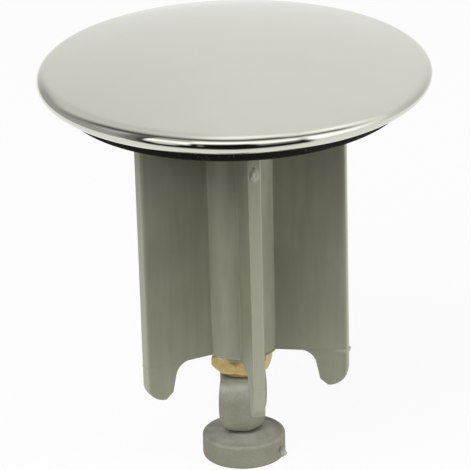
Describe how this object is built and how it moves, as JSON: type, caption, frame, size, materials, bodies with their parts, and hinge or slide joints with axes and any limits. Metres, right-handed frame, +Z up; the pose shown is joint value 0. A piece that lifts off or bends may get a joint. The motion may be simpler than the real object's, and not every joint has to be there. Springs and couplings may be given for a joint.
{
  "type": "pop-up drain plug",
  "caption": "Pop-up waste plug with a chromed cap, rubber seal, winged guide body and a height-adjusting screw that ends in a foot.",
  "frame": {"origin": "centre of the foot's flat underside, which the lever's rod pushes and the plug stands on", "axes": "+Z up along the plug's axis, from the foot to the cap; -Y through the middle of one of the wings"},
  "size_m": [0.07, 0.07, 0.08],
  "materials": {
    "chrome": "polished",
    "brass": "turned",
    "rubber": "moulded",
    "body_plastic": "moulded, satin",
    "screw_plastic": "moulded, grainy matt"
  },
  "bodies": {
    "plug": {"cap": "chrome", "cap_stud": "brass", "seal_ring": "rubber", "guide_body": "body_plastic"},
    "foot": {"foot_disc": "screw_plastic"},
    "screw": {"screw_grip": "screw_plastic", "adjusting_screw": "brass"},
    "nut": {"lock_nut": "brass"}
  },
  "joints": [
    {"name": "foot_travel", "type": "slide", "parent": "plug", "child": "foot", "axis": [0, 0, -1], "range_m": [0, 0.012]},
    {"name": "screw_turn", "type": "hinge", "parent": "foot", "child": "screw", "pos_m": [0, 0, 0], "axis": [0, 0, -1], "range_deg": [0, 4320]},
    {"name": "nut_turn", "type": "hinge", "parent": "plug", "child": "nut", "pos_m": [0, 0, 0.019], "axis": [0, 0, -1], "range_deg": [0, 180]}
  ],
  "couplings": [
    {"joint": "screw_turn", "follows": "foot_travel", "rad_per_m": 6283.2}
  ]
}
